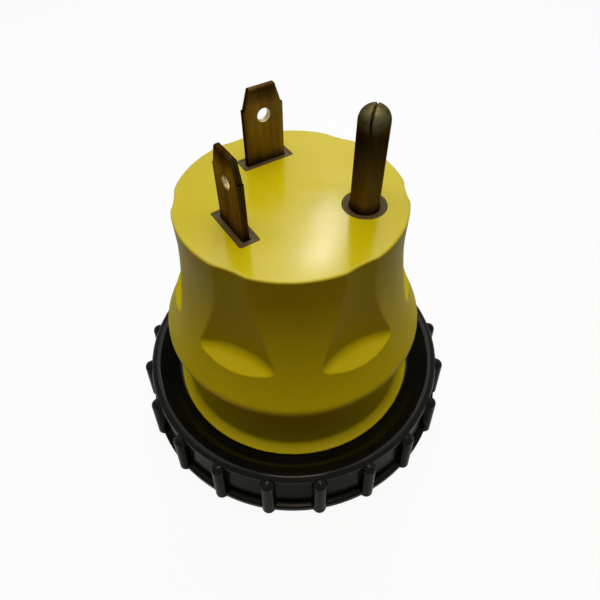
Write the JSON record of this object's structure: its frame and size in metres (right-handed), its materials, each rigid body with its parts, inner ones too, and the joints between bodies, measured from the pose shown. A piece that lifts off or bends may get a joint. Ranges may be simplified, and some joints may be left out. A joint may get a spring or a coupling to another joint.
{
  "type": "locking plug adapter",
  "caption": "Flared plug adapter with flat blades and a round ground pin on one end, and a locking socket inside a threaded, ribbed ring that turns freely on the other.",
  "frame": {"origin": "middle of the lock ring's lower rim, on the ring's axis", "axes": "+Z along the ring's axis to the prongs, +X from the axis to the ground pin, +Y to the neutral blade"},
  "size_m": [0.0908, 0.0908, 0.0943],
  "materials": {
    "yellow_plastic": "satin moulded, with a fine grain",
    "carrier_plastic": "matt moulded",
    "prong_brass": "tarnished, brushed lengthwise",
    "ring_plastic": "glossy moulded",
    "socket_plastic": "matt moulded",
    "rubber": "soft and matt",
    "block_plastic": "matt moulded",
    "contact_brass": "bright, stamped",
    "spring_steel": "bright strip",
    "screw_steel": "plated"
  },
  "bodies": {
    "plug_body": {"housing": "yellow_plastic", "prong_carrier": "carrier_plastic", "line_blade": "prong_brass", "neutral_blade": "prong_brass", "ground_pin": "prong_brass", "socket_face": "socket_plastic", "collar_gasket": "rubber", "body_seal": "rubber", "contact_block": "block_plastic", "contact_x": "contact_brass", "contact_y": "contact_brass", "contact_neutral": "contact_brass", "contact_ground": "contact_brass", "contact_springs": "spring_steel", "ground_spring": "spring_steel", "line_bus": "contact_brass", "neutral_bus": "contact_brass", "ground_bus": "contact_brass", "blade_rivets": "contact_brass", "bus_screws": "screw_steel", "carrier_screws": "screw_steel", "housing_screws": "screw_steel"},
    "ring_body": {"lock_ring": "ring_plastic"}
  },
  "joints": [
    {"name": "ring_turn", "type": "hinge", "parent": "plug_body", "child": "ring_body", "pos_m": [0, 0, 0.012], "axis": [0, 0, 1], "continuous": true}
  ]
}
